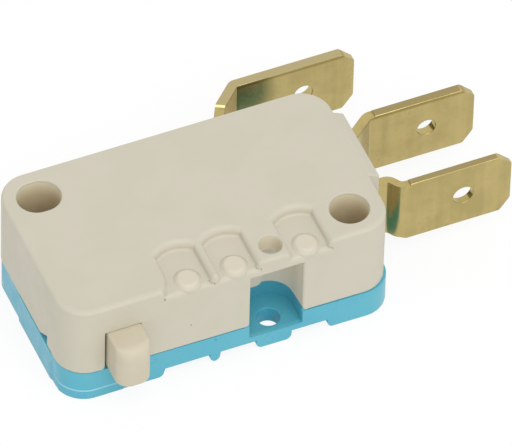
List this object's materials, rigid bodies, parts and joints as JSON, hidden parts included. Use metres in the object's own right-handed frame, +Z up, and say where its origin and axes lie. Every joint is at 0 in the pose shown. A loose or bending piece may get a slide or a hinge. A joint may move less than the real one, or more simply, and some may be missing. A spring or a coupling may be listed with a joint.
{
  "type": "snap-action micro switch",
  "caption": "Small snap-action switch in a two-part plastic case, with a push plunger, blade terminals, mounting holes and seats for an add-on lever.",
  "frame": {"origin": "on the axis of the round mounting hole, in the plane of the cover's underside", "axes": "+X along the case towards the terminal end, +Y from the plunger face to the back face, +Z up from the cover to the roof, along the mounting holes"},
  "size_m": [0.0406, 0.0233, 0.0101],
  "materials": {
    "case_cream": "matte, moulded",
    "cover_blue": "satin, moulded",
    "plunger_ivory": "satin",
    "terminal_brass": "satin, tarnished",
    "contact_silver": "satin silver",
    "arm_copper": "satin copper alloy",
    "spring_steel": "satin steel",
    "lever_nylon": "satin"
  },
  "bodies": {
    "case": {"case_body": "case_cream", "case_cover": "cover_blue", "common_terminal": "terminal_brass", "normally_open_terminal": "terminal_brass", "normally_closed_terminal": "terminal_brass", "normally_open_contact": "contact_silver", "normally_closed_contact": "contact_silver", "lever_pin": "spring_steel"},
    "plunger": {"plunger": "plunger_ivory"},
    "lever": {"actuating_lever": "lever_nylon"},
    "spring": {"snap_spring": "spring_steel"},
    "arm": {"moving_arm": "arm_copper", "moving_contact": "contact_silver"}
  },
  "joints": [
    {"name": "plunger_slide", "type": "slide", "parent": "case", "child": "plunger", "axis": [0, 1, 0], "range_m": [0, 0.0016], "stiffness_N_per_m": 1000, "springref_m": -0.001},
    {"name": "lever_turn", "type": "hinge", "parent": "case", "child": "lever", "pos_m": [-0.02265, 0.00356, 0.00502], "axis": [0, 0, 1], "range_deg": [0, 41.5]},
    {"name": "spring_turn", "type": "hinge", "parent": "lever", "child": "spring", "pos_m": [-0.0171, 0.00441, 0.00502], "axis": [0, 0, 1], "range_deg": [-55.4, 0], "deforming": ["snap_spring"]},
    {"name": "arm_swing", "type": "hinge", "parent": "case", "child": "arm", "pos_m": [-0.014, 0.00541, 0.00502], "axis": [0, 0, 1], "range_deg": [0, 4]}
  ],
  "couplings": [
    {"joint": "lever_turn", "follows": "plunger_slide", "rad_per_m": 452},
    {"joint": "spring_turn", "follows": "plunger_slide", "rad_per_m": -603},
    {"joint": "arm_swing", "follows": "plunger_slide", "rad_per_m": 43.6}
  ]
}
